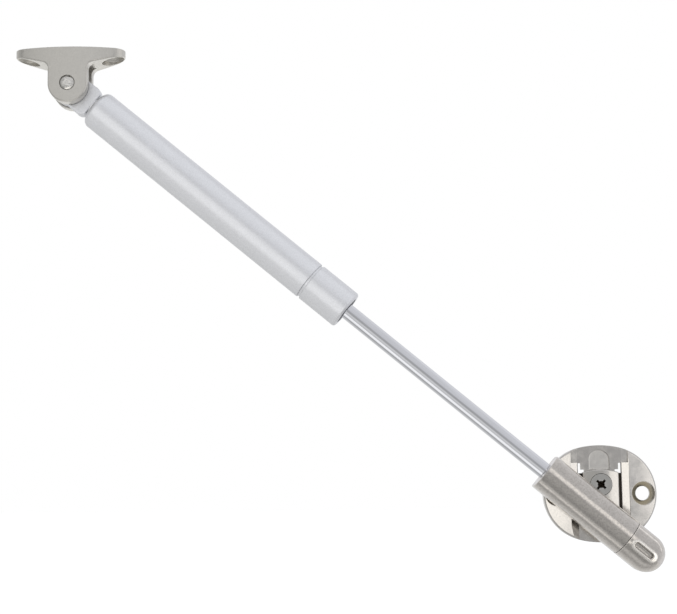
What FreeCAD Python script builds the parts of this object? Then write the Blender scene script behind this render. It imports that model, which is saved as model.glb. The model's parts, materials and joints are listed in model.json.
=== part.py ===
import FreeCAD, Part
import math
import os

# Gas strut stay for a cabinet flap.
# World frame, mm: X to the right, Y into the cabinet wall, Z up.
# Origin: centre of the base plate's mounting face, which lies on the wall (Y = 0).
# Strut frame: X along the strut from the lower pivot to the upper pivot, Y as in the world,
# origin at the lower pivot on the strut's axis.

# ---- driving dimensions ----
STRUT_ANGLE = 39.8           # strut's rise above the horizontal, degrees
STRUT_OFFSET = 13.5          # strut's axis in front of the wall
LOWER_PIVOT_Z = -9.5
PIVOT_DISTANCE = 256.0       # lower pivot to upper pivot, extended
STROKE = 90.0

TUBE_R = 7.5
TUBE_BORE_R = 6.2
ROD_R = 3.0
RUNNING = 0.05               # radial clearance of a running fit
GAP = 0.1                    # clearance between faces that don't rub
PAST = 1.0                   # how far a cutting tool runs past the face that it cuts
SCREW_PITCH = 32.0           # hole pitch of both mountings

# base plate
PLATE_HALF_X = 21.0
PLATE_HALF_Z = 17.9
PLATE_END_R = 17.5           # radius of the oval's round ends
PLATE_RIM = 3.3              # thickness at the rim's ends
PLATE_CROWN = 4.3            # thickness of the dome at its centre
PLATE_EDGE_R = 0.8           # rounding of the rim
FLOOR_FRONT = 2.9            # channel floor, distance from the wall to its front
FLOOR_BACK = 1.75            # and to its back
CHANNEL_HALF = 8.2
LEDGE_OUTER = 10.9
LEDGE_LOW = 3.05             # ledge beside the channel, at its inner edge
LEDGE_HIGH = 3.7             # and at its outer edge
GROOVE_HALF = 3.7            # guide groove for the slide's key
GROOVE_DEPTH = 0.6
GROOVE_END = 12.4            # centres of the groove's round ends
NOTCH_OUT = 10.6             # end notches of the ledges, outer side
GUIDE_SLOT_IN = 7.0
GUIDE_SLOT_OUT = 8.0
GUIDE_SLOT_TOP = 11.3
GUIDE_SLOT_BOTTOM = -11.0
HOOK_SLOT_IN = 5.7           # the slots are wider where the slide's hooks pass
HOOK_SLOT_TOP = 8.95
BACK_POCKET_X = 9.2
BACK_POCKET_Z = 14.2
BACK_POCKET_CORNER_R = 2.0
BASE_HOLE_R = 2.65
BASE_SINK_R = 4.4
BASE_SINK_TOP = 3.45         # cone's wide end, distance from the wall
BASE_SINK_LOW = 1.6          # and its narrow end

# height slide and its clamp
SLIDE_TRAVEL = 3.0
SLIDE_HALF = 6.6
SLIDE_FACE = 6.4             # distance from the wall to the slide's face at its middle
SLIDE_EDGE = 5.7             # and at its sides
SLIDE_TOP = 8.9
SLIDE_BOTTOM = -13.2
SLIDE_END_DROP = 1.0         # how far its round ends fall back at the sides
SLIDE_EDGE_R = 0.35
KEY_BOTTOM = -3.1            # key in the guide groove
KEY_TOP = 8.9
HOOK_BACK = 0.9              # hooks' back face, distance from the wall
HOOK_BOTTOM = -7.8
HOOK_TOP = 7.6
LEG_TOP = 5.8                # legs that carry the hooks through the slots
CLAMP_Z = 3.4
CLAMP_R = 2.0
CLAMP_HEAD_R = 4.0
CLAMP_HEAD_DEEP = CLAMP_HEAD_R - CLAMP_R
CLAMP_LAND = SLIDE_FACE - 0.25   # distance from the wall to the head's widest circle
CLAMP_RIM = 0.2
CLAMP_END = 0.3
RECESS_REACH = 2.15
RECESS_HALF = 0.45
RECESS_DEEP = 1.1
NUT_HALF = 3.5

# pivot stud and connector
STUD_R = 4.0
HEAD_R = 3.5                 # stud's head, in front of its neck
NECK_R = 2.6
COLLAR_R = 5.8
STUD_SEAT = 5.5              # collar's underside, distance from the wall
COLLAR_TOP = 7.5             # distance from the wall
TAIL_R = 3.0                 # stud's tail through the slide, and its riveted end
TAIL_HEAD_R = 3.9
TAIL_HEAD_FRONT = 4.0        # distance from the wall
NECK_HALF = 0.95             # half the neck's length
BUSH_BACK = 0.4              # bush's flange behind the barrel
BUSH_R = 5.0
BUSH_FLANGE_R = 5.8
BUSH_FRONT = 2.4             # bush's front face, measured from the strut's axis
SOCKET_DEEP = 4.6            # socket's end, in front of the axis
BARREL_R = 7.0
BARREL_BACK = 5.4            # flat back, measured from the strut's axis
BARREL_END = 28.1
PARTING = -9.8
CAP_CENTRE = -18.3           # centre of the cap's round nose
PARTING_GAP = 0.2
BEAD_RISE = 0.4              # bead round the thumb recess, above the cap
BEAD_EDGE_R = 0.35
BEAD_START = -22.0
BEAD_END = -11.2
BEAD_HALF = 2.1
BEAD_SHIFT = 0.3             # bead and recess sit this far above the cap's axis
HOLLOW_START = -20.1
HOLLOW_END = -12.3
HOLLOW_HALF = 0.85
HOLLOW_DEPTH = 1.1
LATCH_THICK = 1.1
LATCH_Y = -0.05              # middle of the latch plate
LATCH_HALF = 4.5
LATCH_END = 9.0
LATCH_POCKET = 0.6           # room beside the plate, in its own plane
LATCH_SLACK = 0.15           # and before and behind it
KEYHOLE_R = 3.7              # its wide end, which lets the stud's head out
CAP_TRAVEL = 3.5
PIN_Y = -2.2                 # guide pin's axis
PIN_R = 1.0
PIN_HEAD_R = 1.9
PIN_HEAD_START = -20.4
PIN_HEAD_LENGTH = 0.7
PIN_END = -5.2
FLANGE_START = -12.2         # bent end of the latch plate, inside the cap
FLANGE_TOP = -4.6

# rod and piston stations along the strut
ROD_TAIL_START = 13.0
ROD_TAIL_R = 2.5
ROD_SHOULDER = 24.0
SPACER_START = 132.4
PISTON_START = 134.2
PISTON_END = 140.7
NUT_START = 141.5
NUT_END = 144.7
STEM_END = 145.2
STEM_R = 2.0
NUT_FLATS = 7.0              # piston nut, across its flats
ORIFICE_R = 0.4              # damping holes through the piston
ORIFICE_CIRCLE_R = 4.0
PISTON_GROOVE = 136.5        # start of the ring groove
PISTON_GROOVE_WIDTH = 2.0
PISTON_GROOVE_R = 5.0

# cylinder stations along the strut
SLEEVE_START = 121.5
SLEEVE_END = 138.3
SLEEVE_BORE_R = 6.85
TUBE_SHOULDER = 139.3
TUBE_END = 243.6
TUBE_START = 122.9
GUIDE_END = 127.1
SEAL_END = 130.1
BACKUP_END = 131.3
RING_END = 132.3
RING_INNER_R = 4.9           # retaining ring, snapped into the bore
RING_OUTER_R = TUBE_BORE_R + 0.25
RING_MOUTH_HALF = 1.5
PLUG_START = STEM_END + STROKE + 0.8
PLUG_END = 241.9
PLUG_GROOVE = 238.0          # start of the O-ring groove
PLUG_GROOVE_WIDTH = 1.8
PLUG_GROOVE_R = 4.9
TUBE_LIP_R = 3.7             # opening in the tube's rolled end
TUBE_ROLL_R = 2.2
MOUTH_R = 5.15               # guide bush's nose in the sleeve's mouth
MOUTH_ROLL_R = 1.1
BREAK_R = 0.2                # broken edges where the sleeve meets the tube
EYE_START = 244.5

# eye, bracket and rivet; bracket heights are measured from the upper pivot
EYE_R = 6.8
EYE_HALF = 6.0
EYE_NECK_HALF = 4.2
EYE_THICK = 5.6
EYE_SHOULDER = 3.6           # length over which the eye widens
EYE_EDGE_R = 0.5
EAR_GAP = 6.4
EAR_R = 7.35
RIVET_R = 2.3
RIVET_HEAD_R = 2.6
RIVET_DOME_R = 5.5
RIVET_RISE = 0.25            # rim of the rivet's head above its seat
RIVET_SEAT_R = 2.9
RIVET_SEAT_Y = 7.05          # seats, measured from the bracket's middle
BRACKET_TOP = 13.7
WING_TIP_UNDER = 11.1
WING_ROOT_X = 9.6
WING_ROOT_UNDER = 8.3
BRACKET_HALF_LONG = 20.6
BRACKET_END_R = 5.4
BRACKET_HALF_DEPTH = 7.6
BRACKET_RIM_R = 0.5
BRACKET_INNER_R = 2.6        # rounding between the ears and the wings
SLOT_HALF = 12.0             # slot between the ears
SLOT_ROOF = 8.2
BRACKET_HOLE_R = 2.2
BRACKET_SINK_R = 4.2


# ---- helpers ----
def vec(x, y, z):
    return FreeCAD.Vector(x, y, z)


X_AXIS = vec(1, 0, 0)
Y_AXIS = vec(0, 1, 0)
Z_AXIS = vec(0, 0, 1)
ANGLE = math.radians(STRUT_ANGLE)
LOWER_PIVOT = vec(0, -STRUT_OFFSET, LOWER_PIVOT_Z)
UPPER_PIVOT = LOWER_PIVOT + vec(-math.cos(ANGLE), 0, math.sin(ANGLE)) * PIVOT_DISTANCE
STRUT_PLACE = FreeCAD.Placement(LOWER_PIVOT, FreeCAD.Rotation(Y_AXIS, 180 + STRUT_ANGLE))
BRACKET_PLACE = FreeCAD.Placement(UPPER_PIVOT, FreeCAD.Rotation())


def box(x0, x1, y0, y1, z0, z1):
    return Part.makeBox(x1 - x0, y1 - y0, z1 - z0, vec(x0, y0, z0))


def turned_x(points):
    """Solid of revolution about the X axis; points are (x, radius)."""
    corners = [vec(x, 0, r) for x, r in points]
    face = Part.Face(Part.makePolygon(corners + corners[:1]))
    return face.revolve(vec(0, 0, 0), X_AXIS, 360)


def ring_x(x0, x1, r_in, r_out):
    return turned_x([(x0, r_in), (x1, r_in), (x1, r_out), (x0, r_out)])


def rod_x(x0, x1, r, y=0.0, z=0.0):
    return Part.makeCylinder(r, x1 - x0, vec(x0, y, z), X_AXIS)


def rod_y(x, z, y0, y1, r):
    return Part.makeCylinder(r, y1 - y0, vec(x, y0, z), Y_AXIS)


def cone_y(x, z, y0, y1, r0, r1):
    return Part.makeCone(r0, r1, y1 - y0, vec(x, y0, z), Y_AXIS)


def prism(edges, direction):
    return Part.Face(Part.Wire(Part.__sortEdges__(edges))).extrude(direction)


def line(a, b):
    return Part.LineSegment(a, b).toShape()


def arc(a, b, c):
    return Part.Arc(a, b, c).toShape()


def oval(half_long, half_short, end_r, z0, z1):
    """Four-arc oval along X in the XY plane: end rounds joined by two large arcs that touch them."""
    centre_x = half_long - end_r
    side_r = (centre_x ** 2 + half_short ** 2 - end_r ** 2) / (2 * (half_short - end_r))
    drop = side_r - half_short
    lean = math.atan2(centre_x, drop)
    touch_x = side_r * math.sin(lean)
    touch_y = side_r * math.cos(lean) - drop
    edges = [
        arc(vec(-touch_x, -touch_y, z0), vec(0, -half_short, z0), vec(touch_x, -touch_y, z0)),
        arc(vec(touch_x, -touch_y, z0), vec(half_long, 0, z0), vec(touch_x, touch_y, z0)),
        arc(vec(touch_x, touch_y, z0), vec(0, half_short, z0), vec(-touch_x, touch_y, z0)),
        arc(vec(-touch_x, touch_y, z0), vec(-half_long, 0, z0), vec(-touch_x, -touch_y, z0)),
    ]
    return prism(edges, vec(0, 0, z1 - z0))


def oblong_y(x0, x1, z, half, y0, y1):
    """Round-ended bar along X, extruded along Y."""
    bar = box(x0 + half, x1 - half, y0, y1, z - half, z + half)
    return bar.fuse([rod_y(x0 + half, z, y0, y1, half), rod_y(x1 - half, z, y0, y1, half)]).removeSplitter()


def edges_near(shape, test):
    return [e for e in shape.Edges if test(e)]


def flat_at(edge, axis, value):
    """True if every sampled point of the edge has this coordinate."""
    if edge.Degenerated:
        return False
    return all(abs(getattr(p, axis) - value) < 1e-4 for p in edge.discretize(5))


def in_strut(shape):
    shape.Placement = STRUT_PLACE.multiply(shape.Placement)
    return shape


def in_bracket(shape):
    shape.Placement = BRACKET_PLACE.multiply(shape.Placement)
    return shape


# ---- cabinet-side base ----
def base_plate():
    blank = oval(PLATE_HALF_X, PLATE_HALF_Z, PLATE_END_R, 0, PLATE_CROWN + PAST)
    blank.rotate(vec(0, 0, 0), X_AXIS, 90)
    drop = PLATE_CROWN - PLATE_RIM
    dome_r = (PLATE_HALF_X ** 2 + drop ** 2) / (2 * drop)
    blank = blank.common(Part.makeSphere(dome_r, vec(0, dome_r - PLATE_CROWN, 0)))
    blank = blank.makeFillet(PLATE_EDGE_R, edges_near(blank, lambda e: e.BoundBox.YMax < -0.5))

    reach = PLATE_HALF_Z + PAST
    profile = [
        vec(-CHANNEL_HALF, -FLOOR_FRONT, -reach),
        vec(-CHANNEL_HALF, -LEDGE_LOW, -reach),
        vec(-LEDGE_OUTER, -LEDGE_HIGH, -reach),
        vec(-LEDGE_OUTER, -PLATE_CROWN - PAST, -reach),
        vec(LEDGE_OUTER, -PLATE_CROWN - PAST, -reach),
        vec(LEDGE_OUTER, -LEDGE_HIGH, -reach),
        vec(CHANNEL_HALF, -LEDGE_LOW, -reach),
        vec(CHANNEL_HALF, -FLOOR_FRONT, -reach),
    ]
    channel = Part.Face(Part.makePolygon(profile + profile[:1])).extrude(vec(0, 0, 2 * reach))
    plate = blank.cut(channel)

    # back pocket for the nut and the slide's tabs
    pocket = box(-BACK_POCKET_X, BACK_POCKET_X, -FLOOR_BACK, PAST, -BACK_POCKET_Z, BACK_POCKET_Z)
    corners = edges_near(pocket, lambda e: abs(e.tangentAt(0).y) > 0.9)
    pocket = pocket.makeFillet(BACK_POCKET_CORNER_R, corners)
    plate = plate.cut(pocket)

    # guide slots, and the end notches of the ledges
    front = -FLOOR_FRONT - PAST
    for side in (-1, 1):
        x0, x1 = sorted((side * GUIDE_SLOT_IN, side * GUIDE_SLOT_OUT))
        plate = plate.cut(box(x0, x1, front, 0, GUIDE_SLOT_BOTTOM, GUIDE_SLOT_TOP))
        x0, x1 = sorted((side * HOOK_SLOT_IN, side * GUIDE_SLOT_OUT))
        plate = plate.cut(box(x0, x1, front, 0, GUIDE_SLOT_BOTTOM, HOOK_SLOT_TOP))
        x0, x1 = sorted((side * (CHANNEL_HALF - GAP), side * NOTCH_OUT))
        plate = plate.cut(box(x0, x1, -PLATE_CROWN, -FLOOR_FRONT, GUIDE_SLOT_TOP + 2 * GAP, reach))

    # round-ended guide groove for the slide's key, with the clamp screw's slot in it
    floor = GROOVE_DEPTH - FLOOR_FRONT
    groove = box(-GROOVE_HALF, GROOVE_HALF, front, floor, -GROOVE_END, GROOVE_END)
    ends = [rod_y(0, z, front, floor, GROOVE_HALF) for z in (-GROOVE_END, GROOVE_END)]
    plate = plate.cut(groove.fuse(ends).removeSplitter())
    slot_half = CLAMP_R + 3 * GAP
    slot_reach = SLIDE_TRAVEL + slot_half
    plate = plate.cut(box(-slot_half, slot_half, front, 0, CLAMP_Z - slot_reach, CLAMP_Z + slot_reach))

    # countersunk screw holes
    for side in (-1, 1):
        x = side * SCREW_PITCH / 2
        sink = cone_y(x, 0, -BASE_SINK_TOP, -BASE_SINK_LOW, BASE_SINK_R, BASE_HOLE_R)
        well = rod_y(x, 0, -PLATE_CROWN, -BASE_SINK_TOP, BASE_SINK_R)
        plate = plate.cut([rod_y(x, 0, -PLATE_CROWN, PAST, BASE_HOLE_R), sink, well])
    return plate


def height_slide():
    sag = SLIDE_FACE - SLIDE_EDGE
    crown_r = (SLIDE_HALF ** 2 + sag ** 2) / (2 * sag)
    end_r = (SLIDE_HALF ** 2 + SLIDE_END_DROP ** 2) / (2 * SLIDE_END_DROP)
    seat = FLOOR_FRONT + RUNNING
    front = -SLIDE_FACE - PAST
    body = box(-SLIDE_HALF, SLIDE_HALF, -SLIDE_FACE, -seat, SLIDE_BOTTOM, SLIDE_TOP)
    crown = Part.makeCylinder(crown_r, 60, vec(0, crown_r - SLIDE_FACE, -30), Z_AXIS)
    top_arc = rod_y(0, SLIDE_TOP - end_r, front, 0, end_r)
    foot_arc = rod_y(0, SLIDE_BOTTOM + end_r, front, 0, end_r)
    body = body.common(crown).common(top_arc).common(foot_arc)
    body = body.makeFillet(SLIDE_EDGE_R, edges_near(body, lambda e: e.BoundBox.YMax < -SLIDE_EDGE + 0.01))

    # hooks behind the plate's floor, each on a leg flush with the slide's side
    for side in (-1, 1):
        x0, x1 = sorted((side * (HOOK_SLOT_IN + GAP), side * SLIDE_HALF))
        body = body.fuse(box(x0, x1, -seat - PAST, -HOOK_BACK, HOOK_BOTTOM, LEG_TOP))
        x0, x1 = sorted((side * (HOOK_SLOT_IN + GAP), side * (BACK_POCKET_X - 3 * GAP)))
        body = body.fuse(box(x0, x1, -FLOOR_BACK + GAP, -HOOK_BACK, HOOK_BOTTOM, HOOK_TOP))
    key_half = GROOVE_HALF - 2 * GAP
    key_back = GROOVE_DEPTH - FLOOR_FRONT - GAP
    body = body.fuse(box(-key_half, key_half, -seat - GAP, key_back, KEY_BOTTOM, KEY_TOP))

    # clamp screw's countersunk hole
    body = body.cut([
        rod_y(0, CLAMP_Z, front, 0, CLAMP_R + GAP),
        cone_y(0, CLAMP_Z, -CLAMP_LAND, -CLAMP_LAND + CLAMP_HEAD_DEEP, CLAMP_HEAD_R + GAP, CLAMP_R + GAP),
        rod_y(0, CLAMP_Z, front, -CLAMP_LAND, CLAMP_HEAD_R + GAP),
    ])
    # seat and riveted hole of the pivot stud
    body = body.cut([
        rod_y(0, LOWER_PIVOT_Z, front, -STUD_SEAT, COLLAR_R + GAP),
        rod_y(0, LOWER_PIVOT_Z, front, 0, TAIL_R),
        rod_y(0, LOWER_PIVOT_Z, -TAIL_HEAD_FRONT, 0, TAIL_HEAD_R),
    ])
    return body.removeSplitter()


def pivot_stud():
    back = -FLOOR_FRONT - RUNNING
    neck_back = -STRUT_OFFSET + NECK_HALF
    neck_front = -STRUT_OFFSET - NECK_HALF
    profile = [
        (0, back), (TAIL_HEAD_R - 0.3, back), (TAIL_HEAD_R, back - 0.3), (TAIL_HEAD_R, -TAIL_HEAD_FRONT),
        (TAIL_R, -TAIL_HEAD_FRONT), (TAIL_R, -STUD_SEAT), (COLLAR_R, -STUD_SEAT),
        (COLLAR_R, -COLLAR_TOP + 0.3), (COLLAR_R - 0.3, -COLLAR_TOP), (STUD_R, -COLLAR_TOP),
        (STUD_R, neck_back + 0.4), (STUD_R - 0.4, neck_back), (NECK_R, neck_back), (NECK_R, neck_front),
        (HEAD_R - 0.4, neck_front), (HEAD_R, neck_front - 0.4), (HEAD_R, neck_front - 1.6),
        (HEAD_R - 1.0, neck_front - 2.6), (HEAD_R - 2.4, neck_front - 3.2), (0, neck_front - 3.2),
    ]
    corners = [vec(r, y, LOWER_PIVOT_Z) for r, y in profile]
    face = Part.Face(Part.makePolygon(corners + corners[:1]))
    return face.revolve(vec(0, 0, LOWER_PIVOT_Z), Y_AXIS, 360)


def clamp_screw():
    top = -CLAMP_LAND - CLAMP_RIM
    neck = -CLAMP_LAND + CLAMP_HEAD_DEEP
    head = cone_y(0, CLAMP_Z, -CLAMP_LAND, neck, CLAMP_HEAD_R, CLAMP_R)
    rim = rod_y(0, CLAMP_Z, top, -CLAMP_LAND, CLAMP_HEAD_R)
    shank = rod_y(0, CLAMP_Z, neck, -CLAMP_END, CLAMP_R)
    screw = head.fuse([rim, shank]).removeSplitter()
    screw = screw.makeFillet(0.15, edges_near(screw, lambda e: flat_at(e, "y", top)))
    bottom = -CLAMP_LAND + RECESS_DEEP
    for turn in (42, 132):
        arm = box(-RECESS_REACH, RECESS_REACH, top - PAST, bottom, -RECESS_HALF, RECESS_HALF)
        arm.rotate(vec(0, 0, 0), Y_AXIS, turn)
        arm.translate(vec(0, 0, CLAMP_Z))
        screw = screw.cut(arm)
    return screw.cut(cone_y(0, CLAMP_Z, top - 0.1, -CLAMP_LAND + 1.5, 1.35, 0.4))


def clamp_nut():
    nut = box(-NUT_HALF, NUT_HALF, -FLOOR_BACK, -0.2, CLAMP_Z - NUT_HALF, CLAMP_Z + NUT_HALF)
    nut = nut.makeChamfer(0.4, edges_near(nut, lambda e: abs(e.tangentAt(0).y) > 0.9))
    return nut.cut(rod_y(0, CLAMP_Z, -FLOOR_BACK - PAST, PAST, CLAMP_R + RUNNING))


# ---- connector ----
def tunnel(x0, x1, r, back):
    """Bar along X with a half-round front and flat sides, from the axis plane to its back."""
    edges = [
        arc(vec(x0, 0, -r), vec(x0, -r, 0), vec(x0, 0, r)),
        line(vec(x0, 0, r), vec(x0, back, r)),
        line(vec(x0, back, r), vec(x0, back, -r)),
        line(vec(x0, back, -r), vec(x0, 0, -r)),
    ]
    return prism(edges, vec(x1 - x0, 0, 0))


def connector_barrel():
    start = PARTING + PARTING_GAP / 2
    barrel = tunnel(start, BARREL_END, BARREL_R, BARREL_BACK)
    back_edges = edges_near(barrel, lambda e: flat_at(e, "y", BARREL_BACK) and abs(e.tangentAt(0).x) > 0.9)
    barrel = barrel.makeFillet(1.0, back_edges)
    barrel = barrel.makeFillet(0.45, edges_near(barrel, lambda e: flat_at(e, "x", BARREL_END)))
    # socket for the stud's head, seat of the bush, latch pocket
    half = LATCH_THICK / 2 + LATCH_SLACK
    wide = LATCH_HALF + LATCH_POCKET
    pocket_end = LATCH_END + LATCH_POCKET - GAP
    barrel = barrel.cut(rod_y(0, 0, -SOCKET_DEEP, BARREL_BACK + PAST, STUD_R + 4 * GAP))
    barrel = barrel.cut(rod_y(0, 0, BUSH_FRONT, BARREL_BACK + PAST, BUSH_R))
    barrel = barrel.cut(box(start - PAST, pocket_end, LATCH_Y - half, LATCH_Y + half, -wide, wide))
    # threads for the guide pin and the rod
    barrel = barrel.cut(rod_x(start - PAST, PIN_END + 2 * GAP, PIN_R, PIN_Y))
    barrel = barrel.cut(rod_x(ROD_TAIL_START - PAST, ROD_SHOULDER, ROD_TAIL_R))
    return in_strut(barrel.cut(rod_x(ROD_SHOULDER, BARREL_END + PAST, ROD_R + RUNNING)))


def socket_bush():
    bush = rod_y(0, 0, BUSH_FRONT, BARREL_BACK, BUSH_R)
    flange = rod_y(0, 0, BARREL_BACK, BARREL_BACK + BUSH_BACK, BUSH_FLANGE_R)
    bush = bush.fuse(flange).removeSplitter()
    return in_strut(bush.cut(rod_y(0, 0, 0, BARREL_BACK + PAST, STUD_R + RUNNING)))


def cap_form(r, back, start):
    """Barrel section closed by a round nose about CAP_CENTRE."""
    nose = Part.makeSphere(r, vec(CAP_CENTRE, 0, 0)).fuse(rod_y(CAP_CENTRE, 0, 0, back, r))
    nose = nose.common(box(CAP_CENTRE - 2 * r, CAP_CENTRE, -2 * r, back, -2 * r, 2 * r))
    return tunnel(CAP_CENTRE, start, r, back).fuse(nose).removeSplitter()


def on_bead_crest(edge):
    """True if the edge lies in front, at the bead's height above the cap's spine."""
    if edge.Degenerated or edge.BoundBox.YMax > -BARREL_BACK:
        return False
    heights = [math.hypot(p.y, p.z, min(p.x - CAP_CENTRE, 0)) for p in edge.discretize(5)]
    return all(abs(h - BARREL_R - BEAD_RISE) < 1e-3 for h in heights)


def release_cap():
    start = PARTING - PARTING_GAP / 2
    cap = cap_form(BARREL_R, BARREL_BACK, start)
    back_edges = edges_near(cap, lambda e: flat_at(e, "y", BARREL_BACK) and not flat_at(e, "x", start))
    cap = cap.makeFillet(1.0, back_edges)
    # thumb recess with a raised bead round it, rounded along its crest
    bead = oblong_y(BEAD_START, BEAD_END, BEAD_SHIFT, BEAD_HALF, -2 * BARREL_R, 0)
    cap = cap.fuse(cap_form(BARREL_R + BEAD_RISE, BARREL_BACK, start).common(bead)).removeSplitter()
    hollow = oblong_y(HOLLOW_START, HOLLOW_END, BEAD_SHIFT, HOLLOW_HALF, -2 * BARREL_R, 0)
    cap = cap.cut(hollow.cut(cap_form(BARREL_R - HOLLOW_DEPTH, BARREL_BACK, start)))
    cap = cap.makeFillet(BEAD_EDGE_R, edges_near(cap, on_bead_crest))
    # room for the latch plate's flange, the guide pin and its spring
    cap = cap.cut(rod_x(PIN_HEAD_START - 3 * GAP, start + PAST, PIN_HEAD_R + 3 * GAP, PIN_Y))
    flange_back = LATCH_Y + LATCH_THICK / 2
    room = box(FLANGE_START, start + PAST, FLANGE_TOP, flange_back, -LATCH_HALF, LATCH_HALF)
    return in_strut(cap.cut(room))


def latch_plate():
    front = LATCH_Y - LATCH_THICK / 2
    back = LATCH_Y + LATCH_THICK / 2
    plate = box(FLANGE_START, LATCH_END, front, back, -LATCH_HALF, LATCH_HALF)
    flange = box(FLANGE_START, FLANGE_START + LATCH_THICK, FLANGE_TOP, back, -LATCH_HALF, LATCH_HALF)
    plate = plate.fuse(flange).removeSplitter()
    # keyhole: the narrow end holds the stud's neck, the wide end lets its head out
    narrow_r = NECK_R + LATCH_SLACK
    keyhole = rod_y(0, 0, -3, 3, narrow_r).fuse([
        rod_y(CAP_TRAVEL, 0, -3, 3, KEYHOLE_R),
        box(0, CAP_TRAVEL, -3, 3, -narrow_r, narrow_r),
    ])
    return in_strut(plate.cut([keyhole, rod_x(FLANGE_START - PAST, PARTING, PIN_R + GAP, PIN_Y)]))


def guide_pin():
    shank_start = PIN_HEAD_START + PIN_HEAD_LENGTH
    head = rod_x(PIN_HEAD_START, shank_start, PIN_HEAD_R, PIN_Y)
    return in_strut(rod_x(shank_start, PIN_END, PIN_R, PIN_Y).fuse(head).removeSplitter())


def latch_spring():
    """Coil swept in quarter turns, which keeps its surface true."""
    wire_r = 0.2
    coil_r = 1.45
    quarters = 20
    start = PIN_HEAD_START + PIN_HEAD_LENGTH + wire_r
    rise = (FLANGE_START - wire_r - start) / quarters
    edges = []
    for k in range(quarters):
        part = Part.makeHelix(4 * rise, rise, coil_r)
        part.rotate(vec(0, 0, 0), Z_AXIS, 90 * k)
        part.translate(vec(0, 0, rise * k))
        edges += part.Edges
    section = Part.makeCircle(wire_r, vec(0, 0, 0), Y_AXIS)
    section.rotate(vec(0, 0, 0), X_AXIS, math.degrees(math.atan2(4 * rise, 2 * math.pi * coil_r)))
    section.translate(vec(coil_r, 0, 0))
    spring = Part.Wire(edges).makePipeShell([Part.Wire(section)], True, True)
    spring.rotate(vec(0, 0, 0), Y_AXIS, 90)
    spring.translate(vec(start, PIN_Y, 0))
    return in_strut(spring)


# ---- rod ----
def piston_rod():
    profile = [
        (ROD_TAIL_START, 0), (ROD_TAIL_START, ROD_TAIL_R - 0.5), (ROD_TAIL_START + 0.5, ROD_TAIL_R),
        (ROD_SHOULDER, ROD_TAIL_R), (ROD_SHOULDER, ROD_R),
        (SPACER_START, ROD_R), (SPACER_START, STEM_R),
        (STEM_END - 0.4, STEM_R), (STEM_END, STEM_R - 0.4), (STEM_END, 0),
    ]
    return in_strut(turned_x(profile))


def stop_spacer():
    return in_strut(ring_x(SPACER_START, PISTON_START, STEM_R, 5.7))


def piston():
    groove_end = PISTON_GROOVE + PISTON_GROOVE_WIDTH
    outer = TUBE_BORE_R - 0.15
    profile = [
        (PISTON_START, STEM_R), (PISTON_END, STEM_R), (PISTON_END, outer - 0.4), (PISTON_END - 0.4, outer),
        (groove_end, outer), (groove_end, PISTON_GROOVE_R), (PISTON_GROOVE, PISTON_GROOVE_R),
        (PISTON_GROOVE, outer),
        (PISTON_START + 0.4, outer), (PISTON_START, outer - 0.4),
    ]
    body = turned_x(profile)
    for turn in (0, 120, 240):
        orifice = rod_x(PISTON_START - PAST, PISTON_END + PAST, ORIFICE_R, 0, ORIFICE_CIRCLE_R)
        orifice.rotate(vec(0, 0, 0), X_AXIS, turn)
        body = body.cut(orifice)
    return in_strut(body)


def piston_ring():
    start = PISTON_GROOVE + RUNNING
    end = PISTON_GROOVE + PISTON_GROOVE_WIDTH - RUNNING
    ring = ring_x(start, end, PISTON_GROOVE_R, TUBE_BORE_R - RUNNING)
    return in_strut(ring.cut(box(start - PAST, end + PAST, -2 * GAP, 2 * GAP, 0, TUBE_R)))


def piston_washer():
    return in_strut(ring_x(PISTON_END, NUT_START, STEM_R, 3.5))


def piston_nut():
    corner_r = NUT_FLATS / 2 / math.cos(math.pi / 6)
    turns = [k * math.pi / 3 for k in range(7)]
    corners = [vec(NUT_START, corner_r * math.cos(turn), corner_r * math.sin(turn)) for turn in turns]
    nut = Part.Face(Part.makePolygon(corners)).extrude(vec(NUT_END - NUT_START, 0, 0))
    return in_strut(nut.cut(rod_x(NUT_START - PAST, NUT_END + PAST, STEM_R)))


# ---- cylinder ----
def cylinder_tube():
    neck_r = SLEEVE_BORE_R + GAP
    profile = [
        (TUBE_START, TUBE_BORE_R), (BACKUP_END, TUBE_BORE_R), (BACKUP_END, RING_OUTER_R),
        (RING_END, RING_OUTER_R), (RING_END, TUBE_BORE_R), (PLUG_END, TUBE_BORE_R), (PLUG_END, TUBE_LIP_R),
        (TUBE_END, TUBE_LIP_R), (TUBE_END, TUBE_R), (TUBE_SHOULDER, TUBE_R), (TUBE_SHOULDER, neck_r),
        (SLEEVE_END, neck_r), (SLEEVE_END, SLEEVE_BORE_R), (TUBE_START, SLEEVE_BORE_R),
    ]
    tube = turned_x(profile)
    rolled = edges_near(tube, lambda e: flat_at(e, "x", TUBE_END) and e.BoundBox.ZMax > TUBE_R - 0.01)
    tube = tube.makeFillet(TUBE_ROLL_R, rolled)
    shoulder = edges_near(tube, lambda e: flat_at(e, "x", TUBE_SHOULDER) and e.BoundBox.ZMax > TUBE_R - 0.01)
    return in_strut(tube.makeFillet(BREAK_R, shoulder))


def front_sleeve():
    lip_r = MOUTH_R + 0.25
    profile = [
        (SLEEVE_START, lip_r), (TUBE_START - GAP, lip_r), (TUBE_START - GAP, SLEEVE_BORE_R),
        (SLEEVE_END, SLEEVE_BORE_R), (SLEEVE_END, TUBE_R), (SLEEVE_START, TUBE_R),
    ]
    sleeve = turned_x(profile)
    mouth = edges_near(sleeve, lambda e: flat_at(e, "x", SLEEVE_START) and e.BoundBox.ZMax > TUBE_R - 0.01)
    sleeve = sleeve.makeFillet(MOUTH_ROLL_R, mouth)
    back = edges_near(sleeve, lambda e: flat_at(e, "x", SLEEVE_END) and e.BoundBox.ZMax > TUBE_R - 0.01)
    return in_strut(sleeve.makeFillet(BREAK_R, back))


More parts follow.
